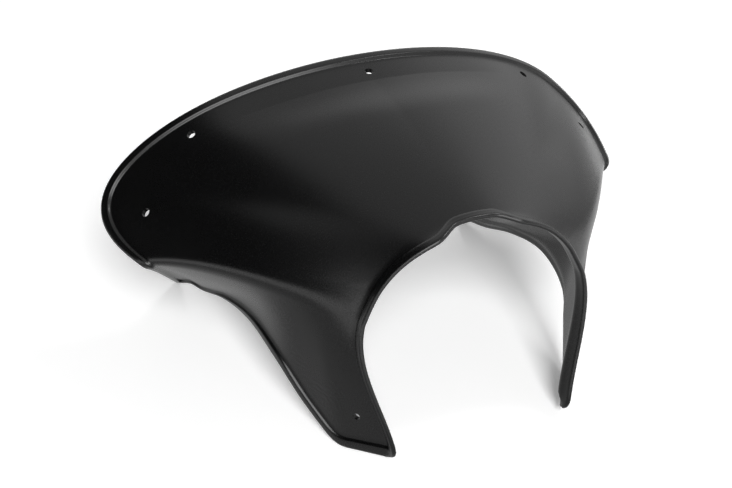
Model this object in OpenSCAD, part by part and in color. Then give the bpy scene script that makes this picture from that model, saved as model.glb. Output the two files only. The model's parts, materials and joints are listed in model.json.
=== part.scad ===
// Moulded cowl for a motorbike headlight: one open plastic shell, made by a loft.
// Millimetres, Z up. The cowl stands on its two toes and its two tails,
// the headlight arch faces -Y, and X = 0 is its plane of symmetry.

/* [Headlight arch] */
// Clear diameter of the arch's lip, which goes round the headlight
arch_d = 198; // [170:1:225]
// Height of the centre of the arch
arch_centre_h = 97; // [80:1:115]
// Depth of the collar that stands forward round the arch
collar = 9; // [5:0.5:14]
// Half width of the notch at the top of the arch
notch_half_w = 41; // [28:1:50]
// Half width of the flat middle of the notch
notch_flat = 12; // [4:1:24]
// Distance that the notch is cut back into the top
notch_depth = 11; // [4:0.5:16]
// How far the collar leans forward on each side of the notch
brow = 6; // [0:0.5:10]
// Half width over which it does so
brow_half_w = 85; // [65:1:95]

/* [Screen rim] */
// Half width of the oval that the rim follows, seen from the front
rim_half_w = 237; // [200:1:280]
// Height of the rim at the centre line
rim_top_h = 245; // [215:1:285]
// Height of the centre of the rim's oval
rim_oval_h = 117; // [95:1:135]
// Distance from the front of the arch back to the rim at the centre line
rim_depth = 226; // [190:1:265]
// How much further back the rim lies where each wing corner starts
rim_sweep = 15.5; // [0:0.5:35]
// How far in from the oval's half width each wing corner starts
corner_in = 34; // [24:1:50]
// How far a wing corner is drawn out beyond its start
corner_reach = 78; // [60:1:95]
// Wing end, from the oval's side at the rim's depth: across, back, up
wing_end = [-16, -73, 10]; // [-110:1:20]

/* [Screen seat] */
// Width of the seat that carries the screen, at the centre line
seat_w = 34; // [24:1:44]
// Depth of the crease at the front of the seat
crease_depth = 3; // [1:0.5:7]

/* [Side walls and legs] */
// Front corner of the toe: across, back from the arch front, up
toe_front = [77.5, -25.5, 11]; // [-40:0.5:120]
// Radius of the front corner of the toe
toe_round = 13.5; // [4:0.5:14]
// Rear corner of the toe
toe_rear = [107, 25.5, 2]; // [0:0.5:150]
// Rear edge of the leg, half way up
shin = [123, 56, 30]; // [0:1:150]
// Bend at the top of the leg's rear edge
knee = [135, 82, 57]; // [0:1:170]
// Highest point of the lower edge
sill_front = [141, 130, 68]; // [0:1:180]
// Lower edge, half way back
sill_mid = [144, 191, 54.5]; // [0:0.5:240]
// Lower edge in front of the tail
sill_rear = [147.5, 252.5, 29.5]; // [0:0.5:300]
// Under side of the tail, just before its tip
tail_under = [149.5, 286, 18]; // [0:0.5:320]
// Tip of the tail
tail = [155, 315, 3.5]; // [0:0.5:340]

/* [Wall and edges] */
// Thickness of the moulded wall
wall = 4; // [2.5:0.1:5]
// Height of the bead along all the edges
bead_h = 2.6; // [1:0.1:4]
// Width of that bead
bead_w = 6; // [4:0.5:9]
// Reach of the rounding on each side of the ridge
ridge_round = 13; // [8:0.5:22]

/* [Fixing holes] */
// Diameter of the five holes for the screen
screen_hole_d = 7.5; // [5:0.1:10]
// Distance from the rim to the middle hole
hole_mid_in = 21.5; // [14:0.5:30]
// Distance from the rim to each side hole
hole_side_in = 24.5; // [16:0.5:34]
// Place of each side hole along the rim, 0 at the centre and 1 at the wing end
hole_side_at = 0.398; // [0.33:0.01:0.46]
// Distance from the rim to each outer hole
hole_outer_in = 46; // [24:0.5:55]
// Place of each outer hole along the rim
hole_outer_at = 0.775; // [0.7:0.01:0.86]
// Diameter of the hole at the foot of each leg
leg_hole_d = 6.5; // [4:0.1:9]
// Height of the leg hole, 0 at the toe and 1 at the ridge
leg_hole_up = 0.228; // [0.12:0.002:0.4]
// Place of the leg hole across the leg, 0 at the arch and 1 at its rear edge
leg_hole_across = 0.51; // [0.4:0.005:0.6]

/* [Hidden] */
colour = "#2b2b2d";

// Start of the ridge on the arch, in degrees from its top
ridge_angle = 64;
// Share of the rim, from the centre, that follows the oval
oval_share = 0.522;
// Skin behind the lip, which the bead lifts outwards
arch_r = arch_d / 2 + wall - bead_h;
corner_x = rim_half_w - corner_in;
corner_angle = asin(corner_x / rim_half_w);
oval_rise = rim_top_h - rim_oval_h;
corner_start = [corner_x, rim_depth + rim_sweep, rim_oval_h + oval_rise * cos(corner_angle)];
// The corner goes on in the direction in which the oval stops
corner_run = rim_half_w * cos(corner_angle);
corner_way = [corner_run, 2 * rim_sweep * corner_run / corner_x, -oval_rise * sin(corner_angle)];
corner_pull = corner_start + corner_way / norm(corner_way) * corner_reach;
corner_end = [rim_half_w, rim_depth, rim_oval_h] + wing_end;
// Share of the lower edge that the foot of the toe takes
toe_share = 0.17;
// The lower edge, from the rear corner of the toe to the tail
lower_keys = [
    [toe_share, toe_rear], [0.27, shin], [0.376, knee],
    [0.51, sill_front], [0.67, sill_mid], [0.84, sill_rear], [0.93, tail_under], [1, tail]
];
// Directions in which the body leaves the arch and arrives at the rim,
// and those in which a side wall leaves the ridge and arrives at its lower edge
off_arch_keys = [[0, [0, 0.96, 0.28]], [0.5, [0.38, 0.9, 0.2]], [1, [0.87, 0.42, 0.13]]];
to_rim_keys = [
    [0, [0, 0.985, 0.17]], [0.5, [0.4, 0.915, 0]], [0.8, [0.63, 0.66, -0.4]], [1, [0.62, 0.72, -0.33]]
];
off_ridge_keys = [[0, [0.52, -0.05, -0.9]], [0.35, [-0.25, 0.25, -0.9]], [1, [-0.31, 0.78, -0.54]]];
to_lower_keys = [
    [0, [-0.08, -0.2, -0.93]], [toe_share, [-0.08, 0.05, -1]], [0.376, [0, 0.35, -0.9]],
    [0.67, [-0.1, 0.8, -0.6]], [1, [-0.32, 0.74, -0.59]]
];

function unit(v) = v / norm(v);
function mix(a, b, t) = a + (b - a) * t;
function clamp01(t) = min(1, max(0, t));
function ease(a, b, x) = let (t = clamp01((x - a) / (b - a))) t * t * t * (t * (6 * t - 15) + 10);

// Cubic from p0 to p1 that leaves along d0 and arrives along d1
function hermite(p0, d0, p1, d1, t) =
    let (t2 = t * t, t3 = t2 * t)
    (2 * t3 - 3 * t2 + 1) * p0 + (t3 - 2 * t2 + t) * d0 + (3 * t2 - 2 * t3) * p1 + (t3 - t2) * d1;

// Smooth curve through keys, each a place along the curve and a point there
function slope(keys, i) =
    let (a = max(0, i - 1), b = min(len(keys) - 1, i + 1))
    (keys[b][1] - keys[a][1]) / (keys[b][0] - keys[a][0]);
function segment(keys, t, i = 0) = i >= len(keys) - 2 || t < keys[i + 1][0] ? i : segment(keys, t, i + 1);
function through(keys, t) =
    let (i = segment(keys, t), w = keys[i + 1][0] - keys[i][0])
    hermite(keys[i][1], slope(keys, i) * w, keys[i + 1][1], slope(keys, i + 1) * w, (t - keys[i][0]) / w);

// Arch, behind its collar: s runs from 0 at the top to 1 at the ridge
function arch(s) =
    let (a = ridge_angle * s)
    [arch_r * sin(a), collar, arch_centre_h + arch_r * cos(a)];

// Rim: an oval at the top, then the round wing corner down to the wing end
function rim(s) =
    let (a = corner_angle * s / oval_share, x = rim_half_w * sin(a), t = (s - oval_share) / (1 - oval_share))
    s < oval_share
    ? [x, rim_depth + rim_sweep * pow(x / corner_x, 2), rim_oval_h + oval_rise * cos(a)]
    : pow(1 - t, 2) * corner_start + 2 * t * (1 - t) * corner_pull + t * t * corner_end;

// Top of the cowl between the arch and the rim
function top_point(s, v) =
    let (a = arch(s), b = rim(s), d = norm(b - a))
    hermite(a, unit(through(off_arch_keys, s)) * d, b, unit(through(to_rim_keys, s)) * d, v);

// Lower edge: the foot of the toe, the leg's rear edge, the sill and the tail.
// The rear corner of the toe is round, over toe_turn on each side of it.
toe_turn = 0.03;
function foot(v) = mix(toe_front + [0, collar, 0], toe_rear, v / toe_share);
function lower_edge(v) =
    let (t = (v - toe_share + toe_turn) / (2 * toe_turn))
    v <= toe_share - toe_turn ? foot(v)
    : v >= toe_share + toe_turn ? through(lower_keys, v)
    : pow(1 - t, 2) * foot(toe_share - toe_turn) + 2 * t * (1 - t) * toe_rear
        + t * t * through(lower_keys, toe_share + toe_turn);

// Side wall between the ridge and the lower edge
function side_point(q, v) =
    let (a = top_point(1, v), b = lower_edge(v), d = norm(b - a))
    hermite(a, unit(through(off_ridge_keys, v)) * d, b, unit(through(to_lower_keys, v)) * d, q);

// Stations round the hoop: across the top, over the ridge and down the side.
// A station is a kind, a share, and for the lower edge a distance from it.
top_stations = 20;
ridge_stations = 5;
side_stations = 7;
round_limit = 0.3;
// The bead steps down to the skin over bead_step
bead_step = 0.42 * bead_w;
beside_bead = [bead_w + bead_step, bead_w + bead_step / 5, bead_w / 2, 0];
edge_steps = concat([bead_w + 3.2 * bead_step, bead_w + 1.8 * bead_step], beside_bead);
hoop = concat(
    [for (i = [0 : top_stations - 1]) ["top", i / top_stations]],
    [for (i = [0 : ridge_stations]) ["ridge", i / ridge_stations]],
    [for (i = [1 : side_stations]) ["side", i / (side_stations + 1)]],
    [for (d = edge_steps) ["edge", d]]
);

function hoop_point(h, v) =
    let (
        kind = h[0], share = h[1],
        top_len = norm(top_point(1, v) - top_point(0.8, v)) / 0.2,
        side_len = norm(side_point(1, v) - side_point(0, v)),
        s_end = 1 - min(round_limit, ridge_round / top_len),
        q_start = min(round_limit, ridge_round / side_len),
        q_end = 1 - edge_steps[0] / side_len
    )
    kind == "top" ? top_point(share * s_end, v)
    : kind == "ridge"
        ? pow(1 - share, 2) * top_point(s_end, v) + 2 * share * (1 - share) * top_point(1, v)
            + share * share * side_point(q_start, v)
    : kind == "side" ? side_point(mix(q_start, q_end, share), v)
    : side_point(1 - share / side_len, v);

// Stations along a section, from the arch to the rim, as distances from either end.
// Those in the middle crowd towards the arch.
front_steps = concat(
    [for (i = [3 : -1 : 0]) beside_bead[i]],
    [for (k = [0.45, 0.95, 1.6]) bead_w + bead_step + k * collar]
);
rear_steps = concat(
    [for (k = [1.7, 1.35, 1.12, 1, 0.8, 0.56]) k * seat_w],
    [bead_w + 2.4 * bead_step],
    beside_bead
);
middle_steps = 13;
crowding = 1.35;

// Distance along a section at which the collar starts: it leans forward to the brow,
// and the notch cuts it back
function cut_back(p) =
    notch_depth * (1 - ease(notch_flat, notch_half_w, p[0]))
    - brow * (1 - ease(0.3 * brow_half_w, brow_half_w, p[0]));

// Point at a distance from the front of the collar, with a rounded bend behind it
bend = collar / 2;
function front_point(h, d) =
    let (
        root = hoop_point(h, 0),
        speed = norm(hoop_point(h, 0.02) - root) / 0.02,
        t = clamp01((d - collar + bend) / (2 * bend)),
        a = root - [0, bend, 0], b = hoop_point(h, bend / speed)
    )
    d < collar - bend ? root - [0, collar - d, 0]
    : d > collar + bend ? hoop_point(h, (d - collar) / speed)
    : pow(1 - t, 2) * a + 2 * t * (1 - t) * root + t * t * b;

function section(h) =
    let (
        root = hoop_point(h, 0), back = hoop_point(h, 1),
        front_speed = norm(hoop_point(h, 0.02) - root) / 0.02,
        rear_speed = norm(back - hoop_point(h, 0.98)) / 0.02,
        start = h[0] == "top" ? cut_back(root) : 0,
        reach = front_steps[len(front_steps) - 1],
        turn = h[0] == "edge" && h[1] < toe_round ? toe_round - sqrt(h[1] * (2 * toe_round - h[1])) : 0,
        v_a = (start + reach - collar) / front_speed,
        v_b = 1 - rear_steps[0] / rear_speed
    )
    concat(
        [for (d = front_steps) front_point(h, start + mix(turn, reach, d / reach))],
        [for (i = [1 : middle_steps]) hoop_point(h, mix(v_a, v_b, pow(i / (middle_steps + 1), crowding)))],
        [for (d = rear_steps) hoop_point(h, 1 - d / rear_speed)]
    );

half = [for (h = hoop) section(h)];
n_half = len(half);
n_v = len(half[0]);
function mirrored(row) = [for (p = row) [-p[0], p[1], p[2]]];
base = concat([for (i = [n_half - 1 : -1 : 1]) mirrored(half[i])], half);
n_u = len(base);

// Outward normal at a place in a grid
function normal_at(g, i, j) =
    let (
        a = g[min(n_u - 1, i + 1)][j] - g[max(0, i - 1)][j],
        b = g[i][min(n_v - 1, j + 1)] - g[i][max(0, j - 1)]
    )
    unit(cross(a, b));

// The bead lifts the skin along its edges. The crease lowers it in front of the seat:
// it fades out forwards over seat_run, and sideways between two shares of the rim.
seat_run = 1.75 * seat_w;
seat_share = [0.15, 0.42];
function lift(i, j) =
    let (
        kind = hoop[abs(i - n_half + 1)][0],
        share = hoop[abs(i - n_half + 1)][1],
        last = n_v - 1 - j,
        from_rim = last < len(rear_steps)
            ? rear_steps[len(rear_steps) - 1 - last]
            : norm(base[i][j] - base[i][n_v - 1]),
        from_arch = j < len(front_steps) ? front_steps[j] : from_rim,
        from_edge = min(kind == "edge" ? share : from_rim, from_rim, from_arch),
        middle = kind == "top" ? 1 - ease(seat_share[0], seat_share[1], share) : 0,
        valley = from_rim < seat_w ? from_rim / seat_w : 1 - ease(seat_w, seat_w + seat_run, from_rim)
    )
    bead_h * (1 - ease(bead_w, bead_w + bead_step, from_edge)) - crease_depth * middle * valley;

skin = [for (i = [0 : n_u - 1]) [for (j = [0 : n_v - 1]) base[i][j] + normal_at(base, i, j) * lift(i, j)]];
normals = [for (i = [0 : n_u - 1]) [for (j = [0 : n_v - 1]) normal_at(skin, i, j)]];
lining = [for (i = [0 : n_u - 1]) [for (j = [0 : n_v - 1]) skin[i][j] - normals[i][j] * wall]];

// Places round the border of the grid, in order
border = concat(
    [for (i = [0 : n_u - 1]) [i, 0]],
    [for (j = [1 : n_v - 1]) [n_u - 1, j]],
    [for (i = [n_u - 2 : -1 : 0]) [i, n_v - 1]],
    [for (j = [n_v - 2 : -1 : 1]) [0, j]]
);
n_b = len(border);
round_steps = 3;

// Half-round edge between the skin and the lining
function edge_point(k, r) =
    let (
        at = border[k], before = border[(k + n_b - 1) % n_b], after = border[(k + 1) % n_b],
        p = skin[at[0]][at[1]], n = normals[at[0]][at[1]],
        along = unit(skin[after[0]][after[1]] - skin[before[0]][before[1]]),
        out = unit(cross(along, n)),
        a = 180 * r / round_steps
    )
    p - n * wall / 2 + (n * cos(a) + out * sin(a)) * wall / 2;

grid_count = n_u * n_v;
function outer(i, j) = i * n_v + j;
function inner(i, j) = grid_count + i * n_v + j;
function ring(k, r) =
    let (at = border[k % n_b])
    r == 0 ? outer(at[0], at[1])
    : r == round_steps ? inner(at[0], at[1])
    : 2 * grid_count + (r - 1) * n_b + k % n_b;

shell_points = concat(
    [for (row = skin) each row],
    [for (row = lining) each row],
    [for (r = [1 : round_steps - 1]) each [for (k = [0 : n_b - 1]) edge_point(k, r)]]
);
shell_faces = concat(
    [for (i = [0 : n_u - 2]) each [for (j = [0 : n_v - 2]) each [
        [outer(i, j), outer(i + 1, j + 1), outer(i + 1, j)],
        [outer(i, j), outer(i, j + 1), outer(i + 1, j + 1)],
        [inner(i, j), inner(i + 1, j), inner(i + 1, j + 1)],
        [inner(i, j), inner(i + 1, j + 1), inner(i, j + 1)]
    ]]],
    [for (r = [0 : round_steps - 1]) each [for (k = [0 : n_b - 1]) each [
        [ring(k, r), ring(k + 1, r + 1), ring(k, r + 1)],
        [ring(k, r), ring(k + 1, r), ring(k + 1, r + 1)]
    ]]]
);

// A hole is square to the skin: its place and the direction out of it
function on_top_at(s, from_rim) =
    let (speed = norm(top_point(s, 1) - top_point(s, 0.98)) / 0.02) top_point(s, 1 - from_rim / speed);
function top_normal(s, from_rim) =
    let (
        across = s > 0 ? on_top_at(s + 0.005, from_rim) - on_top_at(s - 0.005, from_rim) : [1, 0, 0],
        back = on_top_at(s, from_rim - 1) - on_top_at(s, from_rim + 1)
    )
    unit(cross(across, back));
leg_at = [1 - leg_hole_up, leg_hole_across * toe_share];
leg_point = side_point(leg_at[0], leg_at[1]);
leg_normal = unit(cross(
    side_point(leg_at[0] + 0.005, leg_at[1]) - side_point(leg_at[0] - 0.005, leg_at[1]),
    side_point(leg_at[0], leg_at[1] + 0.005) - side_point(leg_at[0], leg_at[1] - 0.005)
));

module bore(p, n, d) {
    translate(p)
        rotate([0, acos(n[2]), atan2(n[1], n[0])])
            cylinder(h = 8 * wall, d = d, center = true, $fn = 48);
}

module screen_bore(s, from_rim) {
    bore(on_top_at(s, from_rim), top_normal(s, from_rim), screen_hole_d);
}

module both_sides() {
    children();
    mirror([1, 0, 0]) children();
}

// The cowl is centred front to back, and its lowest points are at Z = 0
depths = [for (p = shell_points) p[1]];
heights = [for (p = shell_points) p[2]];
to_origin = [0, -(min(depths) + max(depths)) / 2, -min(heights)];

module cowl_shell() {
    color(colour)
        translate(to_origin)
            difference() {
                polyhedron(points = shell_points, faces = shell_faces, convexity = 8);
                screen_bore(0, hole_mid_in);
                both_sides() {
                    screen_bore(hole_side_at, hole_side_in);
                    screen_bore(hole_outer_at, hole_outer_in);
                    bore(leg_point, leg_normal, leg_hole_d);
                }
            }
}

cowl_shell();
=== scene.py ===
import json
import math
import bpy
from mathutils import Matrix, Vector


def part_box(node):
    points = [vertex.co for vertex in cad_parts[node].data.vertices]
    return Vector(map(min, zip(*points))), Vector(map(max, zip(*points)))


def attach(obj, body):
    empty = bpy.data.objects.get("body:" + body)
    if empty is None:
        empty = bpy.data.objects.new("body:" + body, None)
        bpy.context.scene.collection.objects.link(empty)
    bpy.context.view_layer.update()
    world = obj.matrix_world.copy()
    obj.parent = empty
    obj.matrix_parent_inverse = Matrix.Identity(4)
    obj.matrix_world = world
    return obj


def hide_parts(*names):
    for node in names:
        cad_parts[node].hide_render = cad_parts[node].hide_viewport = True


bl_info = {
    "name": "Headlight cowl",
    "version": (1, 0, 0),
    "blender": (4, 5, 0),
    "location": "3D View > Sidebar > Cowl",
    "description": "Moulded cowl for a motorbike headlight, with its finish and its studio",
    "category": "Add Mesh",
}

import bpy
import numpy as np
from bpy.props import FloatProperty, FloatVectorProperty, IntProperty, PointerProperty
from mathutils import Vector

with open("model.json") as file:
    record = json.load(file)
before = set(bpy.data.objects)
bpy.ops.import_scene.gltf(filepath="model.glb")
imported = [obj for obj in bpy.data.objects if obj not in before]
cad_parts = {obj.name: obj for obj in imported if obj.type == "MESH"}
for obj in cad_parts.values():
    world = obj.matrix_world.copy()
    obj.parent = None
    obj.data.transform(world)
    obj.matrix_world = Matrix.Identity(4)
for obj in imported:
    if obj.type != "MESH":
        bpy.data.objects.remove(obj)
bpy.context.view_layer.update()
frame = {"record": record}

MM = 0.001
MERGE_WITHIN = 0.002 * MM
PLASTIC_IOR = 1.45
SHARP_ANGLE = math.radians(48)
SENSOR_W = 36.0
SHELL = "cowl_shell"
SHELL_BOX = [[float(x) for x in corner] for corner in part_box(SHELL)]
MOUNTS = frame["record"]["mounts"]


def length(name, about, millimetres):
    """A length that the user can change, given in millimetres."""
    return FloatProperty(
        name=name, description=about, default=millimetres * MM, unit="LENGTH", precision=4
    )


def place(name, about, millimetres):
    """A point that the user can change, given in millimetres: across, back, up."""
    return FloatVectorProperty(
        name=name,
        description=about,
        default=[x * MM for x in millimetres],
        size=3,
        subtype="XYZ",
        unit="LENGTH",
        precision=4,
    )


def angle(name, about, degrees):
    """An angle that the user can change, given in degrees."""
    return FloatProperty(
        name=name, description=about, default=math.radians(degrees), subtype="ANGLE"
    )


def watts(name, about, power):
    """The power of a lamp, which the user can change."""
    return FloatProperty(name=name, description=about, default=power, min=0.0, unit="POWER")


def whole(name, about, number, least):
    """A whole number that the user can change."""
    return IntProperty(name=name, description=about, default=number, min=least)


def share(name, about, value):
    """A number from 0 to 1 that the user can change."""
    return FloatProperty(name=name, description=about, default=value, min=0.0, max=1.0, precision=4)


def colour(name, about, value):
    """A colour that the user can change."""
    return FloatVectorProperty(
        name=name, description=about, default=value, size=3, subtype="COLOR", min=0.0, max=1.0
    )


# ------------------------------------------------------------------ sizes


class ArchSizes(bpy.types.PropertyGroup):
    clear_d: length("Clear diameter", "Clear diameter of the arch round the headlight", 198)
    centre_h: length("Centre height", "Height of the centre of the arch", 97)
    collar: length("Collar", "Depth of the collar that stands forward round the arch", 9)
    bend: length("Bend", "Reach of the bend behind the collar, each way", 4.5)
    notch_half_w: length("Notch half width", "Half width of the notch at the top", 41)
    notch_flat: length("Notch flat", "Half width of the flat middle of the notch", 12)
    notch_depth: length("Notch depth", "Distance that the notch is cut back", 11)
    brow: length("Brow", "How far the collar leans forward on each side of the notch", 6)
    brow_half_w: length("Brow half width", "Half width over which it does so", 85)
    ridge_angle: angle("Ridge angle", "Start of the ridge on the arch, from its top", 64)


class RimSizes(bpy.types.PropertyGroup):
    half_w: length("Half width", "Half width of the oval that the rim follows", 237)
    top_h: length("Top height", "Height of the rim at the centre line", 245)
    oval_h: length("Oval height", "Height of the centre of the rim's oval", 117)
    depth: length("Depth", "Distance from the arch back to the rim", 226)
    sweep: length("Sweep", "How much further back the rim lies at a wing corner", 15.5)
    corner_in: length("Corner in", "How far in from the oval's half width a wing corner starts", 34)
    corner_reach: length("Corner reach", "How far a wing corner is drawn out beyond its start", 78)
    wing_end: place("Wing end", "Wing end, from the oval's side at the rim's depth", (-16, -73, 10))
    oval_share: share("Oval share", "Share of the rim that follows the oval", 0.522)
    seat_w: length("Seat width", "Width of the seat that carries the screen", 34)
    seat_crease: length("Seat crease", "Depth of the crease at the front of the seat", 3)
    seat_run: length("Seat run", "Distance over which the crease fades forwards", 60)


class SideSizes(bpy.types.PropertyGroup):
    toe_front: place("Toe front", "Front corner of the toe", (77.5, -25.5, 11))
    toe_round: length("Toe round", "Radius of the front corner of the toe", 13.5)
    toe_rear: place("Toe rear", "Rear corner of the toe", (107, 25.5, 2))
    shin: place("Shin", "Rear edge of the leg, half way up", (123, 56, 30))
    knee: place("Knee", "Bend at the top of the leg's rear edge", (135, 82, 57))
    sill_front: place("Sill front", "Highest point of the lower edge", (141, 130, 68))
    sill_mid: place("Sill middle", "Lower edge, half way back", (144, 191, 54.5))
    sill_rear: place("Sill rear", "Lower edge in front of the tail", (147.5, 252.5, 29.5))
    tail_under: place("Tail under", "Under side of the tail, before its tip", (149.5, 286, 18))
    tail: place("Tail", "Tip of the tail", (155, 315, 3.5))
    toe_share: share("Toe share", "Share of the lower edge that the toe's foot takes", 0.17)
    toe_turn: share("Toe turn", "Rounding on each side of the toe's rear corner", 0.03)


class WallSizes(bpy.types.PropertyGroup):
    wall: length("Wall", "Thickness of the moulded wall", 4)
    bead_h: length("Bead height", "Height of the bead along the edges", 2.6)
    bead_w: length("Bead width", "Width of that bead", 6)
    bead_step: length("Bead step", "Width of the step beside the bead", 2.5)
    ridge_round: length("Ridge round", "Reach of the rounding on each side of the ridge", 13)
    hole_patch: length("Hole patch", "Reach of the fine mesh round a hole", 9)


class MeshDetail(bpy.types.PropertyGroup):
    top: whole("Top", "Rows from the centre line to the ridge", 104, 20)
    ridge: whole("Ridge", "Rows over the ridge", 12, 4)
    side: whole("Side", "Rows down the side wall", 26, 6)
    middle: whole("Middle", "Stations between the arch and the seat", 46, 10)
    crowding: FloatProperty(
        name="Crowding", description="How far the stations crowd to the arch", default=1.35, min=1.0
    )
    edge: whole("Edge", "Steps round the half-round edge", 6, 2)
    hole: whole("Hole", "Rings of faces round each hole", 4, 2)


class FinishSizes(bpy.types.PropertyGroup):
    plastic: colour("Plastic", "Colour of the moulded plastic", (0.002, 0.002, 0.0021))
    roughness: share("Roughness", "Roughness of the moulded plastic", 0.28)
    grain: length("Grain", "Spacing of the fine mould grain", 0.9)
    grain_depth: length("Grain depth", "Depth of the mould grain", 0.012)
    flow: length("Flow", "Size of the soft patches where the plastic flowed", 60)
    flow_tone: share("Flow tone", "How much lighter and darker those patches are", 0.1)
    flow_rough: share("Flow roughness", "Change of roughness over those patches", 0.05)
    grain_rough: share("Grain roughness", "Change of roughness over the mould grain", 0.08)


class StudioSizes(bpy.types.PropertyGroup):
    azimuth: angle("Azimuth", "Way round to the camera", -23.68)
    elevation: angle("Elevation", "Height of the camera", 30.42)
    distance: length("Distance", "From the aim to the camera", 1123.4)
    aim: place("Aim", "Point that the camera looks at", (-30.0, -2.54, 106.45))
    lens: FloatProperty(
        name="Lens", description="Focal length on the sensor's width", default=63.93, unit="CAMERA"
    )
    floor_r: length("Floor", "Radius of the floor", 6000)
    floor_colour: colour("Floor colour", "Colour of the floor", (0.92, 0.92, 0.92))
    floor_lift: share("Floor lift", "Light that the floor shows near the object", 0.24)
    # The far and edge lifts are painted light: a glow on the floor that grows with distance from
    # the object, so the floor is whiter beyond its shadows and towards its edge, and the gloss
    # shows it too.
    far_painted_light: share("Far lift", "Further light that it shows away from the object", 0.2)
    far_from: length("Far from", "Where that further light starts", 250)
    far_full: length("Far full", "Where it is full", 900)
    edge_painted_light: share("Edge lift", "Further light that it shows towards its edge", 0.45)
    edge_from: length("Edge from", "Where that further light starts", 1200)
    edge_full: length("Edge full", "Where it is full", 3500)
    room: share("Room", "Strength of the light from all round", 0.2)
    lamps_aim: place("Lamps' aim", "Point that the lamps and the screen look at", (0, 0, 100))
    key_power: watts("Key", "Power of the main lamp", 232.0)
    key_size: length("Key size", "Side of the main lamp", 1400)
    key_place: place("Key place", "Place of the main lamp", (-950, -3560, 2680))
    screen_side: length("Screen side", "Side of the bright screen that the gloss shows there", 3600)
    screen_tone: FloatProperty(
        name="Screen tone", description="Brightness of that screen", default=6.4, min=0.0
    )
    top_power: watts("Top lamp", "Power of the small lamp above", 11.0)
    top_size: length("Top lamp size", "Side of the small lamp", 550)
    top_place: place("Top lamp place", "Place of the small lamp", (1130, -300, 2310))
    ceiling: share("Ceiling", "Tone of the grey ceiling in the gloss", 0.62)
    ceiling_r: length("Ceiling distance", "Distance of the ceiling", 6000)
    ceiling_low: angle("Ceiling low", "Lower edge of the ceiling, above the floor", 42)
    ceiling_high: angle("Ceiling high", "Upper edge of the ceiling, above the floor", 89.5)
    # The board is painted shadow: a grey sheet on the floor under the object that only the gloss
    # shows, darkening the reflected floor where its shadow falls.
    shadow_board: share("Board", "Tone of the grey board on the floor, in the gloss", 0.5)
    board_start: place("Board start", "Front left corner of the board", (-460, -300, 1.5))
    board_end: place("Board end", "Rear right corner of the board", (300, 380, 1.5))
    wall: share("Wall", "Tone of the low wall on the right, in the gloss", 0.6)
    wall_r: length("Wall distance", "Distance of the low wall", 1000)
    wall_h: length("Wall height", "Height of the low wall", 360)
    wall_from: angle("Wall from", "Start of the wall, from the front to the right", 85)
    wall_to: angle("Wall to", "End of the wall, from the front to the right", 150)
    card_r: length("Card", "Distance of the black card", 4000)
    card_from: angle("Card from", "Start of the card, from the front to the left", 38)
    card_to: angle("Card to", "End of the card, from the front to the left", 172)
    card_low: angle("Card low", "Lower edge of the card, above the floor", 7)
    card_high: angle("Card high", "Top of the card's upper edge, above the floor", 67)
    card_drop: angle("Card drop", "How far its upper edge comes down at both ends", 28)


class CowlSettings(bpy.types.PropertyGroup):
    arch: PointerProperty(type=ArchSizes)
    rim: PointerProperty(type=RimSizes)
    side: PointerProperty(type=SideSizes)
    wall: PointerProperty(type=WallSizes)
    detail: PointerProperty(type=MeshDetail)
    finish: PointerProperty(type=FinishSizes)
    studio: PointerProperty(type=StudioSizes)


# ------------------------------------------------------------------ nodes


class Value:
    """An output socket of a node. Arithmetic on it adds Math nodes to its tree."""

    def __init__(self, graph, socket):
        self.graph = graph
        self.socket = socket

    def math(self, operation, first, second):
        return self.graph.node("ShaderNodeMath", {"operation": operation}, {0: first, 1: second})

    def __add__(self, other):
        return self.math("ADD", self, other)

    def __radd__(self, other):
        return self.math("ADD", other, self)

    def __sub__(self, other):
        return self.math("SUBTRACT", self, other)

    def __rsub__(self, other):
        return self.math("SUBTRACT", other, self)

    def __mul__(self, other):
        return self.math("MULTIPLY", self, other)

    def __rmul__(self, other):
        return self.math("MULTIPLY", other, self)

    def __truediv__(self, other):
        return self.math("DIVIDE", self, other)

    def __rtruediv__(self, other):
        return self.math("DIVIDE", other, self)

    def least(self, other):
        """The smaller of this number and another."""
        return self.math("MINIMUM", self, other)

    def scaled(self, vector):
        """This number times a vector."""
        return self.graph.node(
            "ShaderNodeVectorMath", {"operation": "SCALE"}, {"Vector": vector, "Scale": self}
        )

    def plus(self, vector):
        """This vector plus another."""
        return self.graph.node("ShaderNodeVectorMath", {"operation": "ADD"}, {0: self, 1: vector})

    def other(self, name):
        """Another output of the same node."""
        return Value(self.graph, self.socket.node.outputs[name])


class Graph:
    """A node tree that is written as calls and expressions."""

    def __init__(self, tree):
        self.tree = tree

    def node(self, kind, settings=None, sockets=None, output=0):
        made = self.tree.nodes.new(kind)
        for name, value in (settings or {}).items():
            setattr(made, name, value)
        for key, value in (sockets or {}).items():
            if isinstance(value, Value):
                self.tree.links.new(value.socket, made.inputs[key])
            else:
                made.inputs[key].default_value = value
        return Value(self, made.outputs[output]) if made.outputs else made

    def attribute(self, name, kind="FLOAT"):
        return self.node("GeometryNodeInputNamedAttribute", {"data_type": kind}, {"Name": name})

    def ease(self, value, low, high):
        """0 below low, 1 above high, and smooth between them."""
        return self.node(
            "ShaderNodeMapRange",
            {"interpolation_type": "SMOOTHERSTEP"},
            {"Value": value, "From Min": low, "From Max": high},
        )


# ------------------------------------------------------------------ curves and surfaces


def unit(vectors):
    return vectors / np.linalg.norm(vectors, axis=-1, keepdims=True)


def mix(a, b, t):
    return a + (b - a) * t


def column(values):
    """Numbers as a column, so that they multiply points."""
    return np.asarray(values, float)[..., None]


def ease(low, high, x):
    t = np.clip((x - low) / (high - low), 0.0, 1.0)
    return t**3 * (t * (6 * t - 15) + 10)


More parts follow.
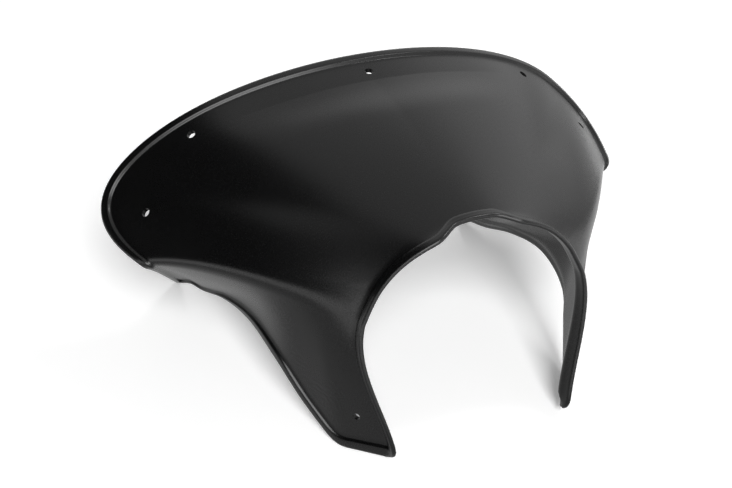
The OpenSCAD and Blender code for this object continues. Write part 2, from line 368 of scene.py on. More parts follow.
def hermite(start, leaving, end, arriving, t):
    """Cubic from start to end that leaves and arrives along two directions."""
    t = column(t)
    t2 = t * t
    t3 = t2 * t
    return (
        (2 * t3 - 3 * t2 + 1) * start
        + (t3 - 2 * t2 + t) * leaving
        + (3 * t2 - 2 * t3) * end
        + (t3 - t2) * arriving
    )


def quadratic(start, pull, end, t):
    """Curve from start to end, drawn towards pull."""
    t = column(t)
    return (1 - t) ** 2 * start + 2 * t * (1 - t) * pull + t * t * end


def through(keys, t):
    """Smooth curve through keys, each a place along the curve and a value there."""
    places = np.array([key[0] for key in keys], float)
    values = np.array([key[1] for key in keys], float)
    last = len(keys) - 1
    slopes = np.array(
        [
            (values[min(i + 1, last)] - values[max(i - 1, 0)])
            / (places[min(i + 1, last)] - places[max(i - 1, 0)])
            for i in range(last + 1)
        ]
    )
    i = np.clip(np.searchsorted(places, t, side="right") - 1, 0, last - 1)
    width = places[i + 1] - places[i]
    leaving, arriving = slopes[i] * column(width), slopes[i + 1] * column(width)
    return hermite(values[i], leaving, values[i + 1], arriving, (t - places[i]) / width)


class CowlSurface:
    """The skin of one half of the cowl, as a rule from the driving sizes.

    s runs across the top, from 0 at the centre line to 1 at the ridge, and q down
    the side wall, from 0 at the ridge to 1 at the lower edge. v runs from 0 at the
    arch to 1 at the rim. X is across, Y back from the front of the arch, Z up.
    """

    # Directions in which the body leaves the arch and arrives at the rim,
    # and those in which a side wall leaves the ridge and arrives at its lower edge
    OFF_ARCH = [[0, [0, 0.96, 0.28]], [0.5, [0.38, 0.9, 0.2]], [1, [0.87, 0.42, 0.13]]]
    TO_RIM = [
        [0, [0, 0.985, 0.17]],
        [0.5, [0.4, 0.915, 0]],
        [0.8, [0.63, 0.66, -0.4]],
        [1, [0.62, 0.72, -0.33]],
    ]
    OFF_RIDGE = [[0, [0.52, -0.05, -0.9]], [0.35, [-0.25, 0.25, -0.9]], [1, [-0.31, 0.78, -0.54]]]
    # The most of a length that the rounding of the ridge takes, the share of the top
    # before its last part, and the share of a section in which its speed is measured
    ROUND_LIMIT = 0.3
    LAST_PART = 0.8
    NEAR = 0.02

    def __init__(self, sizes):
        self.arch_sizes = sizes.arch
        self.rim_sizes = sizes.rim
        self.side_sizes = sizes.side
        self.wall = sizes.wall
        rim, side = sizes.rim, sizes.side
        self.arch_r = sizes.arch.clear_d / 2 + sizes.wall.wall - sizes.wall.bead_h
        self.corner_x = rim.half_w - rim.corner_in
        self.corner_angle = math.asin(self.corner_x / rim.half_w)
        rise = rim.top_h - rim.oval_h
        self.corner_start = np.array(
            [self.corner_x, rim.depth + rim.sweep, rim.oval_h + rise * math.cos(self.corner_angle)]
        )
        # the corner goes on in the direction in which the oval stops
        run = rim.half_w * math.cos(self.corner_angle)
        drop = rise * math.sin(self.corner_angle)
        way = np.array([run, 2 * rim.sweep * run / self.corner_x, -drop])
        self.corner_pull = self.corner_start + unit(way) * rim.corner_reach
        self.corner_end = np.array([rim.half_w, rim.depth, rim.oval_h]) + np.array(rim.wing_end)
        self.lower_keys = [
            [side.toe_share, side.toe_rear],
            [0.27, side.shin],
            [0.376, side.knee],
            [0.51, side.sill_front],
            [0.67, side.sill_mid],
            [0.84, side.sill_rear],
            [0.93, side.tail_under],
            [1, side.tail],
        ]
        self.to_lower = [
            [0, [-0.08, -0.2, -0.93]],
            [side.toe_share, [-0.08, 0.05, -1]],
            [0.376, [0, 0.35, -0.9]],
            [0.67, [-0.1, 0.8, -0.6]],
            [1, [-0.32, 0.74, -0.59]],
        ]

    def arch(self, s):
        a = self.arch_sizes.ridge_angle * s
        return np.stack(
            [
                self.arch_r * np.sin(a),
                np.full_like(a, self.arch_sizes.collar),
                self.arch_sizes.centre_h + self.arch_r * np.cos(a),
            ],
            axis=-1,
        )

    def rim(self, s):
        rim = self.rim_sizes
        a = self.corner_angle * s / rim.oval_share
        x = rim.half_w * np.sin(a)
        oval = np.stack(
            [
                x,
                rim.depth + rim.sweep * (x / self.corner_x) ** 2,
                rim.oval_h + (rim.top_h - rim.oval_h) * np.cos(a),
            ],
            axis=-1,
        )
        t = np.clip((s - rim.oval_share) / (1 - rim.oval_share), 0, 1)
        corner = quadratic(self.corner_start, self.corner_pull, self.corner_end, t)
        return np.where(column(s < rim.oval_share), oval, corner)

    def top_point(self, s, v):
        a, b = self.arch(s), self.rim(s)
        span = np.linalg.norm(b - a, axis=-1, keepdims=True)
        leaving = unit(through(self.OFF_ARCH, s)) * span
        arriving = unit(through(self.TO_RIM, s)) * span
        return hermite(a, leaving, b, arriving, v)

    def foot(self, v):
        side = self.side_sizes
        front = np.array(side.toe_front) + np.array([0, self.arch_sizes.collar, 0])
        return mix(front, np.array(side.toe_rear), column(v / side.toe_share))

    def lower_edge(self, v):
        side = self.side_sizes
        before, after = side.toe_share - side.toe_turn, side.toe_share + side.toe_turn
        corner = quadratic(
            self.foot(np.array(before)),
            np.array(side.toe_rear),
            through(self.lower_keys, np.array(after)),
            np.clip((v - before) / (after - before), 0, 1),
        )
        beyond = through(self.lower_keys, np.maximum(v, after))
        behind = np.where(column(v >= after), beyond, corner)
        return np.where(column(v <= before), self.foot(v), behind)

    def side_point(self, q, v):
        a, b = self.top_point(np.ones_like(v), v), self.lower_edge(v)
        span = np.linalg.norm(b - a, axis=-1, keepdims=True)
        leaving = unit(through(self.OFF_RIDGE, v)) * span
        arriving = unit(through(self.to_lower, v)) * span
        return hermite(a, leaving, b, arriving, q)

    def hoop_point(self, station, v, last_edge):
        """Point on a station of the hoop: across the top, over the ridge or down the side."""
        kind, at = station
        v = np.asarray(v, float)
        one = np.ones_like(v)
        ridge = self.top_point(one, v)
        before_ridge = self.top_point(self.LAST_PART * one, v)
        top_len = np.linalg.norm(ridge - before_ridge, axis=-1) / (1 - self.LAST_PART)
        s_end = 1 - np.minimum(self.ROUND_LIMIT, self.wall.ridge_round / top_len)
        if kind == "top":
            return self.top_point(at * s_end, v)
        side_len = np.linalg.norm(self.side_point(one, v) - self.side_point(0 * one, v), axis=-1)
        q_start = np.minimum(self.ROUND_LIMIT, self.wall.ridge_round / side_len)
        if kind == "ridge":
            return quadratic(self.top_point(s_end, v), ridge, self.side_point(q_start, v), at * one)
        if kind == "side":
            return self.side_point(mix(q_start, 1 - last_edge / side_len, at), v)
        return self.side_point(1 - at / side_len, v)


class CowlSheet:
    """The skin as a grid of points, from the left lower edge over the top to the right one."""

    # Share of the brow that stands forward in full, and the shares of the way to the
    # ridge between which the crease of the seat fades
    BROW_FULL = 0.3
    SEAT_FADE = (0.15, 0.42)

    def __init__(self, sizes):
        self.sizes = sizes
        self.surface = CowlSurface(sizes)
        detail, wall, rim = sizes.detail, sizes.wall, sizes.rim
        step = wall.bead_step
        beside_bead = [wall.bead_w + step * part for part in (1.0, 0.75, 0.5, 0.25, 0.0)]
        on_bead = [wall.bead_w * part for part in (0.65, 0.3, 0.0)]
        self.edge_steps = [wall.bead_w + 9 * MM, wall.bead_w + 5.5 * MM] + beside_bead + on_bead
        # gaps in millimetres, before and behind the crease of the seat and behind the lip
        before_seat = [rim.seat_w + gap * MM for gap in (26, 20, 15, 11, 8, 5, 3, 1.5, 0.6, 0)]
        behind_seat = [rim.seat_w - gap * MM for gap in (0.6, 1.8, 4, 7, 10, 13, 16, 18)]
        lip_gaps = (1, 2.1, 3.3, 4.6, 6.2, 8.2, 11, 15, 20)
        self.rear_steps = before_seat + behind_seat + self.edge_steps[1:]
        beyond_lip = [wall.bead_w + step + gap * MM for gap in lip_gaps]
        self.front_steps = (beside_bead + on_bead)[::-1] + beyond_lip
        self.hoop = (
            [("top", i / detail.top) for i in range(detail.top)]
            + [("ridge", i / detail.ridge) for i in range(detail.ridge + 1)]
            + [("side", i / (detail.side + 1)) for i in range(1, detail.side + 1)]
            + [("edge", distance) for distance in self.edge_steps]
        )
        half = np.array([self.section(station) for station in self.hoop])
        self.rows = len(half)
        self.points = np.concatenate([half[:0:-1] * [-1, 1, 1], half])
        self.normals = self.find_normals(self.points)

    def hoop_point(self, station, v):
        return self.surface.hoop_point(station, v, self.edge_steps[0])

    def speed(self, station, v0, v1):
        """Distance along a section for each unit of v, near one of its ends."""
        ends = self.hoop_point(station, np.array([v0, v1]))
        return np.linalg.norm(ends[1] - ends[0]) / abs(v1 - v0)

    def section(self, station):
        """Points from the arch to the rim on one station of the hoop."""
        arch, detail = self.sizes.arch, self.sizes.detail
        near = self.surface.NEAR
        kind, at = station
        root = self.hoop_point(station, np.array([0.0]))[0]
        front_speed = self.speed(station, 0.0, near)
        rear_speed = self.speed(station, 1.0 - near, 1.0)
        start = 0.0
        if kind == "top":
            start = arch.notch_depth * (1 - ease(arch.notch_flat, arch.notch_half_w, root[0]))
            brow_w = arch.brow_half_w
            start -= arch.brow * (1 - ease(self.BROW_FULL * brow_w, brow_w, root[0]))
        turn = 0.0
        toe = self.sizes.side.toe_round
        if kind == "edge" and at < toe:
            turn = toe - math.sqrt(at * (2 * toe - at))
        reach = self.front_steps[-1]
        distances = start + mix(turn, reach, np.array(self.front_steps) / reach)
        front = self.front_points(station, root, front_speed, distances)
        v_front = (start + reach - arch.collar) / front_speed
        v_rear = 1 - self.rear_steps[0] / rear_speed
        spread = (np.arange(1, detail.middle + 1) / (detail.middle + 1)) ** detail.crowding
        middle = self.hoop_point(station, mix(v_front, v_rear, spread))
        rear = self.hoop_point(station, 1 - np.array(self.rear_steps) / rear_speed)
        return np.concatenate([front, middle, rear])

    def front_points(self, station, root, speed, distances):
        """Points at distances from the front of the collar, with its bend behind it."""
        collar, bend = self.sizes.arch.collar, self.sizes.arch.bend
        back = np.array([0.0, 1.0, 0.0])
        straight = root + back * column(distances - collar)
        body = self.hoop_point(station, np.maximum(distances - collar, 0) / speed)
        after = self.hoop_point(station, np.array([bend / speed]))[0]
        in_bend = np.clip((distances - collar + bend) / (2 * bend), 0, 1)
        turn = quadratic(root - back * bend, root, after, in_bend)
        behind = np.where(column(distances > collar + bend), body, turn)
        return np.where(column(distances < collar - bend), straight, behind)

    @staticmethod
    def find_normals(points):
        across = np.gradient(points, axis=0)
        back = np.gradient(points, axis=1)
        return unit(np.cross(across, back))

    def edge_distances(self):
        """Distance of each point from the rim, and from the nearest beaded edge."""
        points = self.points
        from_rim = np.linalg.norm(points - points[:, -1:], axis=-1)
        from_rim[:, -len(self.rear_steps):] = self.rear_steps
        nearest = from_rim.copy()
        lip = len(self.front_steps)
        nearest[:, :lip] = np.minimum(nearest[:, :lip], self.front_steps)
        for k, (kind, at) in enumerate(self.hoop):
            if kind == "edge":
                for row in (self.rows - 1 - k, self.rows - 1 + k):
                    nearest[row] = np.minimum(nearest[row], at)
        return from_rim, nearest

    def seat_mask(self):
        """1 where the seat's crease is full, and 0 towards the wings."""
        half = np.array(
            [1 - ease(*self.SEAT_FADE, at) if kind == "top" else 0.0 for kind, at in self.hoop]
        )
        rows = np.concatenate([half[:0:-1], half])
        return np.repeat(rows[:, None], self.points.shape[1], axis=1)

    def outward(self):
        """Direction out of the sheet along its border, and nothing inside it."""
        rows, columns = self.points.shape[:2]
        border = (
            [(i, 0) for i in range(rows)]
            + [(rows - 1, j) for j in range(1, columns)]
            + [(i, columns - 1) for i in range(rows - 2, -1, -1)]
            + [(0, j) for j in range(columns - 2, 0, -1)]
        )
        at = np.array(border)
        loop = self.points[at[:, 0], at[:, 1]]
        along = unit(np.roll(loop, -1, axis=0) - np.roll(loop, 1, axis=0))
        out = np.zeros_like(self.points)
        out[at[:, 0], at[:, 1]] = unit(np.cross(along, self.normals[at[:, 0], at[:, 1]]))
        return out

    def round_edge(self):
        """Points all over the half-round edge of the shell."""
        wall = self.sizes.wall
        turn = np.linspace(0, math.pi, 25)[:, None, None]
        depth = wall.bead_h - wall.wall * (1 - np.cos(turn)) / 2
        bulge = wall.wall * np.sin(turn) / 2
        out = self.outward()
        border = np.linalg.norm(out, axis=-1) > 0.5
        return self.points[border] + depth * self.normals[border] + bulge * out[border]


class SheetMesh:
    """Points and faces of the sheet, with a ring of faces round each hole."""

    FIELDS = ("rim_distance", "edge_distance", "seat")
    # Power by which the rings round a hole draw together
    DRAWN_IN = 1.4

    def __init__(self, sheet, shift):
        self.sheet = sheet
        rows, columns = sheet.points.shape[:2]
        self.columns = columns
        self.points = list((sheet.points + shift).reshape(-1, 3))
        self.normals = list(sheet.normals.reshape(-1, 3))
        self.out = list(sheet.outward().reshape(-1, 3))
        from_rim, nearest = sheet.edge_distances()
        self.fields = [list(field.ravel()) for field in (from_rim, nearest, sheet.seat_mask())]
        self.faces = {
            (i, j): tuple(self.index(i + a, j + b) for a, b in ((0, 0), (1, 0), (1, 1), (0, 1)))
            for i in range(rows - 1)
            for j in range(columns - 1)
        }
        self.extra = []

    def index(self, i, j):
        return i * self.columns + j

    def cut_hole(self, centre, axis, radius, reach, rings):
        """Replaces the faces near a hole by rings of faces that end on its circle."""
        rows = self.sheet.points.shape[0]
        grid = np.array(self.points[: rows * self.columns]).reshape(rows, self.columns, 3)
        i, j = np.unravel_index(np.argmin(np.linalg.norm(grid - centre, axis=-1)), grid.shape[:2])
        i_step = np.linalg.norm(grid[i + 1, j] - grid[i, j])
        j_step = np.linalg.norm(grid[i, j + 1] - grid[i, j])
        a, b = (max(2, round(reach / step)) for step in (i_step, j_step))
        for cell_i in range(i - a, i + a):
            for cell_j in range(j - b, j + b):
                del self.faces[cell_i, cell_j]
        border = (
            [(i - a + k, j - b) for k in range(2 * a)]
            + [(i + a, j - b + k) for k in range(2 * b)]
            + [(i + a - k, j + b) for k in range(2 * a)]
            + [(i - a, j + b - k) for k in range(2 * b)]
        )
        outline = [self.index(*at) for at in border]
        patch = [self.index(m, n) for m in range(i - a, i + a + 1) for n in range(j - b, j + b + 1)]
        self.add_rings(outline, patch, np.array(centre), np.array(axis), radius, rings)

    def add_rings(self, outline, patch, centre, axis, radius, rings):
        side = unit(np.cross(axis, [0.0, 1.0, 0.0]))
        up = np.cross(axis, side)

        def flat(points):
            offsets = np.asarray(points) - centre
            return np.stack([offsets @ side, offsets @ up], axis=-1), offsets @ axis

        def terms(xy):
            x, y = xy[..., 0], xy[..., 1]
            return np.stack([np.ones_like(x), x, y, x * x, x * y, y * y], axis=-1)

        def known_at(keys, heights):
            fields = [[field[k] for k in keys] for field in self.fields]
            return np.column_stack([heights, [self.normals[k] for k in keys], *fields])

        patch_xy, patch_z = flat([self.points[k] for k in patch])
        fit = np.linalg.lstsq(terms(patch_xy), known_at(patch, patch_z), rcond=None)[0]
        outer_xy, outer_z = flat([self.points[k] for k in outline])
        count = len(outline)
        angles = np.arctan2(outer_xy[:, 1], outer_xy[:, 0])
        turned = np.unwrap(angles)
        even = turned.mean() + math.copysign(2 * math.pi, turned[-1] - turned[0]) * (
            (np.arange(count) + 0.5) / count - 0.5
        )
        circle = radius * np.stack([np.cos(even), np.sin(even)], axis=-1)
        miss = known_at(outline, outer_z) - terms(outer_xy) @ fit
        last = outline
        for ring in range(1, rings + 1):
            # the rings draw together towards the hole's edge
            part = 1 - (1 - ring / rings) ** self.DRAWN_IN
            xy = mix(outer_xy, circle, part)
            known = terms(xy) @ fit + miss * (1 - part) ** 2
            start = len(self.points)
            at_edge = ring == rings
            for (x, y), row in zip(xy, known):
                self.points.append(centre + side * x + up * y + axis * row[0])
                self.normals.append(axis if at_edge else unit(row[1:4]))
                self.out.append(np.zeros(3))
                for field, value in zip(self.fields, row[4:]):
                    field.append(float(value))
            current = list(range(start, start + count))
            for k in range(count):
                n = (k + 1) % count
                self.extra.append((last[k], last[n], current[n], current[k]))
            last = current

    def build(self, name):
        """The mesh, without the points that the holes leave loose."""
        faces = list(self.faces.values()) + self.extra
        used = np.unique(np.array(faces))
        renumbered = {int(old): new for new, old in enumerate(used)}
        mesh = bpy.data.meshes.new(name)
        points = [tuple(self.points[k]) for k in used]
        mesh.from_pydata(points, [], [[renumbered[int(k)] for k in face] for face in faces])
        for title, values in zip(self.FIELDS, self.fields):
            layer = mesh.attributes.new(title, "FLOAT", "POINT")
            layer.data.foreach_set("value", [values[k] for k in used])
        for title, values in (("skin_normal", self.normals), ("edge_out", self.out)):
            layer = mesh.attributes.new(title, "FLOAT_VECTOR", "POINT")
            layer.data.foreach_set("vector", np.array([values[k] for k in used]).ravel())
        mesh.update()
        return mesh


# ------------------------------------------------------------------ the shell's node tree


def wall_tree(detail):
    """Node tree that gives the sheet its bead, its seat, its wall and its round edges."""
    tree = bpy.data.node_groups.new("Moulded wall", "GeometryNodeTree")
    face = tree.interface
    face.new_socket("Sheet", in_out="INPUT", socket_type="NodeSocketGeometry")
    bead_inputs = ("Bead Height", "Bead Width", "Bead Step")
    seat_inputs = ("Seat Width", "Seat Crease", "Seat Run")
    for title in ("Wall", *bead_inputs, *seat_inputs):
        face.new_socket(title, in_out="INPUT", socket_type="NodeSocketFloat").subtype = "DISTANCE"
    face.new_socket("Plastic", in_out="INPUT", socket_type="NodeSocketMaterial")
    face.new_socket("Shell", in_out="OUTPUT", socket_type="NodeSocketGeometry")
    graph = Graph(tree)
    given = graph.node("NodeGroupInput")
    wall = given.other("Wall")
    bead_h, bead_w, bead_step = (given.other(title) for title in bead_inputs)
    seat_w, seat_crease, seat_run = (given.other(title) for title in seat_inputs)

    from_rim = graph.attribute("rim_distance")
    from_edge = graph.attribute("edge_distance")
    normal = graph.attribute("skin_normal", "FLOAT_VECTOR")
    out = graph.attribute("edge_out", "FLOAT_VECTOR")
    place_now = graph.node("GeometryNodeInputPosition")

    behind = (from_rim / seat_w).least(1.0)
    valley = behind * (1.0 - graph.ease(from_rim, seat_w, seat_w + seat_run))
    crease = seat_crease * graph.attribute("seat") * valley
    bead = bead_h * (1.0 - graph.ease(from_edge, bead_w, bead_w + bead_step))
    # the lining follows the bead in a wider sweep, so that it never folds
    sweep = bead_h * (1.0 - graph.ease(from_edge, bead_w - bead_step, bead_w + 3.0 * bead_step))

    def moved(mesh, distance):
        sockets = {"Geometry": mesh, "Offset": distance.scaled(normal)}
        return graph.node("GeometryNodeSetPosition", {}, sockets)

    base = graph.node(
        "GeometryNodeStoreNamedAttribute",
        {"data_type": "FLOAT_VECTOR", "domain": "POINT"},
        {"Geometry": given.other("Sheet"), "Name": "base_place", "Value": place_now},
    )
    skin = moved(base, bead - crease)
    inside = moved(base, sweep - crease - wall)
    lining = graph.node("GeometryNodeFlipFaces", {}, {"Mesh": inside})

    # the edge is drawn out of the sheet's border in steps, round a half circle
    steps = detail.edge
    borders = graph.node("GeometryNodeInputMeshEdgeNeighbors")
    chosen = graph.node(
        "FunctionNodeCompare", {"data_type": "INT", "operation": "EQUAL"}, {2: borders, 3: 1}
    )
    rounded = skin
    base_place = graph.attribute("base_place", "FLOAT_VECTOR")
    for step in range(1, steps + 1):
        turn = math.pi * step / steps
        rounded = graph.node(
            "GeometryNodeExtrudeMesh",
            {"mode": "EDGES"},
            {"Mesh": rounded, "Selection": chosen, "Offset Scale": 0.0},
        )
        chosen = rounded.other("Top")
        depth = bead - crease + (sweep - bead - wall) * ((1 - math.cos(turn)) / 2)
        bulge = wall * (math.sin(turn) / 2)
        target = base_place.plus(depth.scaled(normal)).plus(bulge.scaled(out))
        rounded = graph.node(
            "GeometryNodeSetPosition",
            {},
            {"Geometry": rounded, "Selection": chosen, "Position": target},
        )
    both = graph.node("GeometryNodeJoinGeometry")
    for part in (lining, rounded):
        tree.links.new(part.socket, both.socket.node.inputs[0])
    closed = graph.node(
        "GeometryNodeMergeByDistance", {}, {"Geometry": both, "Distance": MERGE_WITHIN}
    )
    smooth = graph.node("GeometryNodeSetShadeSmooth", {}, {"Geometry": closed})
    real = graph.node("GeometryNodeRealizeInstances", {}, {"Geometry": smooth})
    coloured = graph.node(
        "GeometryNodeSetMaterial", {}, {"Geometry": real, "Material": given.other("Plastic")}
    )
    graph.node("NodeGroupOutput", {}, {"Shell": coloured})
    return tree


def through_tree(mesh, tree, inputs, name):
    """The mesh that a node tree makes of another, as a plain mesh object at the origin."""
    source = bpy.data.objects.new(name + "_source", mesh)
    bpy.context.scene.collection.objects.link(source)
    modifier = source.modifiers.new("Wall", "NODES")
    modifier.node_group = tree
    for item in tree.interface.items_tree:
        if item.item_type == "SOCKET" and item.in_out == "INPUT" and item.name in inputs:
            modifier[item.identifier] = inputs[item.name]
    source.update_tag()
    bpy.context.view_layer.update()
    evaluated = source.evaluated_get(bpy.context.evaluated_depsgraph_get())
    made = bpy.data.meshes.new_from_object(evaluated)
    made.name = name
    bpy.data.objects.remove(source)
    bpy.data.meshes.remove(mesh)
    bpy.data.node_groups.remove(tree)
    if not made.polygons:
        raise RuntimeError(f"{name}: the node tree made no faces")
    piece = bpy.data.objects.new(name, made)
    bpy.context.scene.collection.objects.link(piece)
    return piece


# ------------------------------------------------------------------ finish


def moulded_plastic(finish):
    """Satin black plastic with a fine mould grain."""
    material = bpy.data.materials.new("Moulded black plastic")
    material.use_nodes = True
    material.node_tree.nodes.clear()
    graph = Graph(material.node_tree)
    where = graph.node("ShaderNodeTexCoord", output="Object")
    flow = graph.node(
        "ShaderNodeTexNoise",
        {"noise_dimensions": "3D"},
        {"Vector": where, "Scale": 1 / finish.flow, "Detail": 2.0, "Roughness": 0.5},
    )
    grain = graph.node(
        "ShaderNodeTexNoise",
        {"noise_dimensions": "3D"},
        {"Vector": where, "Scale": 1 / finish.grain, "Detail": 3.0, "Roughness": 0.55},
    )
    tone = graph.node(
        "ShaderNodeMix",
        {"data_type": "RGBA"},
        {
            "Factor": flow,
            "A": (*[(1 - finish.flow_tone) * x for x in finish.plastic], 1.0),
            "B": (*[(1 + finish.flow_tone) * x for x in finish.plastic], 1.0),
        },
        output="Result",
    )
    rough = finish.roughness + (flow - 0.5) * finish.flow_rough + (grain - 0.5) * finish.grain_rough
    bump = graph.node(
        "ShaderNodeBump", {}, {"Strength": 1.0, "Distance": finish.grain_depth, "Height": grain}
    )
    surface = graph.node(
        "ShaderNodeBsdfPrincipled",
        {},
        {"Base Color": tone, "Roughness": rough, "IOR": PLASTIC_IOR, "Normal": bump},
    )
    graph.node("ShaderNodeOutputMaterial", {}, {"Surface": surface})
    return material


def seen_directly(graph):
    """1 for the camera and for what it sees in gloss or through glass, and 0 for other light."""
    path = graph.node("ShaderNodeLightPath")
    return (path + path.other("Is Glossy Ray") + path.other("Is Transmission Ray")).least(1.0)


def floor_paint(studio):
    """Pale floor that keeps its shadow and shows as white round it, with a painted glow that grows
    away from the object.
    """
    material = bpy.data.materials.new("Studio floor")
    material.use_nodes = True
    material.node_tree.nodes.clear()
    graph = Graph(material.node_tree)
    matte = graph.node("ShaderNodeBsdfDiffuse", {}, {"Color": (*studio.floor_colour, 1.0)})
    where = graph.node("ShaderNodeTexCoord", output="Object")
    away = graph.node("ShaderNodeVectorMath", {"operation": "LENGTH"}, {0: where}, "Value")
    # painted light: an even lift plus a glow that grows with distance from the object, beyond its
    # shadows and towards the floor's edge, which the gloss also shows
    floor_glow_painted = studio.floor_lift + studio.far_painted_light * graph.ease(away, studio.far_from, studio.far_full)
    floor_glow_painted += studio.edge_painted_light * graph.ease(away, studio.edge_from, studio.edge_full)
    glow = (seen_directly(graph) * floor_glow_painted).scaled((1.0, 1.0, 1.0))
    lift = graph.node("ShaderNodeEmission", {}, {"Color": glow, "Strength": 1.0})
    surface = graph.node("ShaderNodeAddShader", {}, {0: matte, 1: lift})
    graph.node("ShaderNodeOutputMaterial", {}, {"Surface": surface})
    return material


def room_light(studio):
    """World that is white where it is seen, and gives an even light."""
    world = bpy.data.worlds.new("Studio room")
    world.use_nodes = True
    world.node_tree.nodes.clear()
    graph = Graph(world.node_tree)
    seen = seen_directly(graph)
    strength = seen + (1.0 - seen) * studio.room
    sky = graph.node("ShaderNodeBackground", {}, {"Color": (1, 1, 1, 1), "Strength": strength})
    graph.node("ShaderNodeOutputWorld", {}, {"Surface": sky})
    bpy.context.scene.world = world


def facing(place_at, aim):
    """The turn that makes a lamp or a screen look at a point."""
    return (Vector(aim) - Vector(place_at)).to_track_quat("-Z", "Y")


def soft_lamp(name, power, size):
    """A square lamp that the camera doesn't see."""
    data = bpy.data.lights.new(name, "AREA")
    data.energy = power
    data.shape = "SQUARE"
    data.size = size
    lamp = bpy.data.objects.new(name, data)
    lamp.visible_camera = False
    bpy.context.scene.collection.objects.link(lamp)
    return lamp


def dome(up, left, radius):
    """Points round the object, by their angles above the floor and from the front to the left."""
    level = np.cos(up)
    return radius * np.stack([-np.sin(left) * level, -np.cos(left) * level, np.sin(up)], axis=-1)


def gloss_card(name, points, tone):
    """A card of an even tone through a grid of points, which only the plastic's gloss shows."""
    material = bpy.data.materials.new(name)
    material.use_nodes = True
    material.node_tree.nodes.clear()
    graph = Graph(material.node_tree)
    even = graph.node("ShaderNodeEmission", {}, {"Color": (1, 1, 1, 1), "Strength": tone})
    graph.node("ShaderNodeOutputMaterial", {}, {"Surface": even})
    rows, across = points.shape[:2]
    faces = [
        (i * across + j, i * across + j + 1, (i + 1) * across + j + 1, (i + 1) * across + j)
        for i in range(rows - 1)
        for j in range(across - 1)
    ]
    mesh = bpy.data.meshes.new(name)
    mesh.from_pydata([tuple(point) for point in points.reshape(-1, 3)], [], faces)
    mesh.materials.append(material)
    card = bpy.data.objects.new(name, mesh)
    card.visible_camera = False
    card.visible_diffuse = False
    card.visible_shadow = False
    bpy.context.scene.collection.objects.link(card)


# ------------------------------------------------------------------ operators


class COWL_OT_shell(bpy.types.Operator):
    """Build the moulded shell from the driving sizes"""

    bl_idname = "cowl.shell"
    bl_label = "Cowl shell"

    def execute(self, context):
        sizes = context.scene.cowl
        sheet = CowlSheet(sizes)
        mesh = SheetMesh(sheet, self.into_frame(sheet))
        wall, rim = sizes.wall, sizes.rim
        for mount in MOUNTS:
            radius = mount["dims"]["r_mm"] * MM
            mesh.cut_hole(mount["pos_m"], mount["axis"], radius, wall.hole_patch, sizes.detail.hole)
        inputs = {
            "Wall": wall.wall,
            "Bead Height": wall.bead_h,
            "Bead Width": wall.bead_w,
            "Bead Step": wall.bead_step,
            "Seat Width": rim.seat_w,
            "Seat Crease": rim.seat_crease,
            "Seat Run": rim.seat_run,
            "Plastic": moulded_plastic(sizes.finish),
        }
        piece = through_tree(mesh.build("sheet"), wall_tree(sizes.detail), inputs, "cowl")
        piece.data.set_sharp_from_angle(angle=SHARP_ANGLE)
        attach(piece, "root")
        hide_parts(SHELL)
        return {"FINISHED"}

    @staticmethod
    def into_frame(sheet):
        """The move that stands the shell on the floor, with its middle where the CAD shell's is."""
        low, high = np.array(SHELL_BOX)
        edge = sheet.round_edge()
        front, back = edge[..., 1].min(), edge[..., 1].max()
        return np.array([0.0, (low[1] + high[1] - front - back) / 2, low[2] - edge[..., 2].min()])


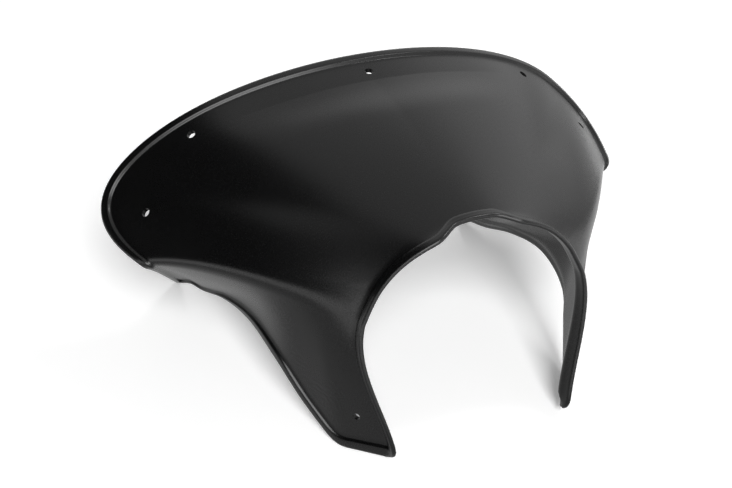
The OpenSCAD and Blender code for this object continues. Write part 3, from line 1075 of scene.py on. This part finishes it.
class COWL_OT_studio(bpy.types.Operator):
    """Make the floor, the lamps, the cards round the object and the camera"""

    bl_idname = "cowl.studio"
    bl_label = "Studio"

    def execute(self, context):
        studio = context.scene.cowl.studio
        scene = context.scene
        scene.view_settings.view_transform = "Standard"
        self.add_floor(scene, studio)
        room_light(studio)
        key = soft_lamp("key_lamp", studio.key_power, studio.key_size)
        top = soft_lamp("top_lamp", studio.top_power, studio.top_size)
        for lamp, place_at in ((key, studio.key_place), (top, studio.top_place)):
            lamp.location = place_at
            lamp.rotation_euler = facing(place_at, studio.lamps_aim).to_euler()
        key.visible_glossy = False
        self.add_screen(studio)
        self.add_cards(studio)
        self.add_camera(scene, studio)
        return {"FINISHED"}

    @staticmethod
    def add_floor(scene, studio):
        sides = 96
        way = 2 * np.pi * np.arange(sides) / sides
        ring = studio.floor_r * np.stack([np.cos(way), np.sin(way), np.zeros(sides)], axis=-1)
        mesh = bpy.data.meshes.new("floor")
        mesh.from_pydata([tuple(point) for point in ring], [], [range(sides)])
        mesh.materials.append(floor_paint(studio))
        floor = bpy.data.objects.new("floor", mesh)
        scene.collection.objects.link(floor)

    @staticmethod
    def add_screen(studio):
        """The bright screen at the main lamp, which stands for it in the gloss."""
        turn, half = facing(studio.key_place, studio.lamps_aim), studio.screen_side / 2
        corners = [[turn @ Vector((x, y, 0)) for x in (-half, half)] for y in (-half, half)]
        gloss_card("key_screen", np.array(studio.key_place) + np.array(corners), studio.screen_tone)

    @staticmethod
    def add_cards(studio):
        """A black card over the left side, a grey ceiling, a grey floor board of painted shadow and
        a low wall.
        """
        along = np.linspace(-1, 1, 17)
        left = mix(studio.card_from, studio.card_to, (along + 1) / 2)
        top = studio.card_high - studio.card_drop * along**2
        up = mix(studio.card_low, top, column(np.linspace(0, 1, 9)))
        gloss_card("black_card", dome(up, np.broadcast_to(left, up.shape), studio.card_r), 0.0)

        rise = np.linspace(studio.ceiling_low, studio.ceiling_high, 12)
        up, left = np.meshgrid(rise, np.linspace(0, 2 * math.pi, 49), indexing="ij")
        gloss_card("grey_ceiling", dome(up, left, studio.ceiling_r), studio.ceiling)

        # painted shadow: a grey board under the object, seen only in the gloss, stands for the
        # floor's shade there
        start, end = studio.board_start, studio.board_end
        x, y = np.meshgrid((start[0], end[0]), (start[1], end[1]), indexing="ij")
        gloss_card("painted_shadow_board", np.stack([x, y, np.full_like(x, start[2])], axis=-1), studio.shadow_board)

        right = np.linspace(studio.wall_from, studio.wall_to, 9)
        high, right = np.meshgrid((0.0, studio.wall_h), right, indexing="ij")
        across, back = studio.wall_r * np.sin(right), -studio.wall_r * np.cos(right)
        gloss_card("grey_wall", np.stack([across, back, high], axis=-1), studio.wall)

    @staticmethod
    def add_camera(scene, studio):
        back = Vector(dome(studio.elevation, -studio.azimuth, 1.0))
        data = bpy.data.cameras.new("camera")
        data.lens = studio.lens
        data.sensor_width = SENSOR_W
        camera = bpy.data.objects.new("camera", data)
        camera.location = Vector(studio.aim) + back * studio.distance
        camera.rotation_euler = back.to_track_quat("Z", "Y").to_euler()
        scene.collection.objects.link(camera)
        scene.camera = camera


class COWL_PT_panel(bpy.types.Panel):
    """Lists the steps that make the cowl"""

    bl_idname = "COWL_PT_panel"
    bl_label = "Headlight cowl"
    bl_space_type = "VIEW_3D"
    bl_region_type = "UI"
    bl_category = "Cowl"

    def draw(self, context):
        sizes = context.scene.cowl
        for operator in STEPS:
            self.layout.operator(operator.bl_idname)
        for title in ("arch", "rim", "side", "wall", "detail", "finish", "studio"):
            box = self.layout.box()
            box.label(text=title.capitalize())
            group = getattr(sizes, title)
            for name in group.__annotations__:
                box.prop(group, name)


SHAPES = (ArchSizes, RimSizes, SideSizes, WallSizes, MeshDetail)
GROUPS = (*SHAPES, FinishSizes, StudioSizes, CowlSettings)
STEPS = (COWL_OT_shell, COWL_OT_studio)


def register():
    for group in (*GROUPS, *STEPS, COWL_PT_panel):
        bpy.utils.register_class(group)
    bpy.types.Scene.cowl = PointerProperty(type=CowlSettings)


def unregister():
    del bpy.types.Scene.cowl
    for group in reversed((*GROUPS, *STEPS, COWL_PT_panel)):
        bpy.utils.unregister_class(group)


def main():
    register()
    bpy.ops.cowl.shell()
    bpy.ops.cowl.studio()


if __name__ == "__main__":
    main()
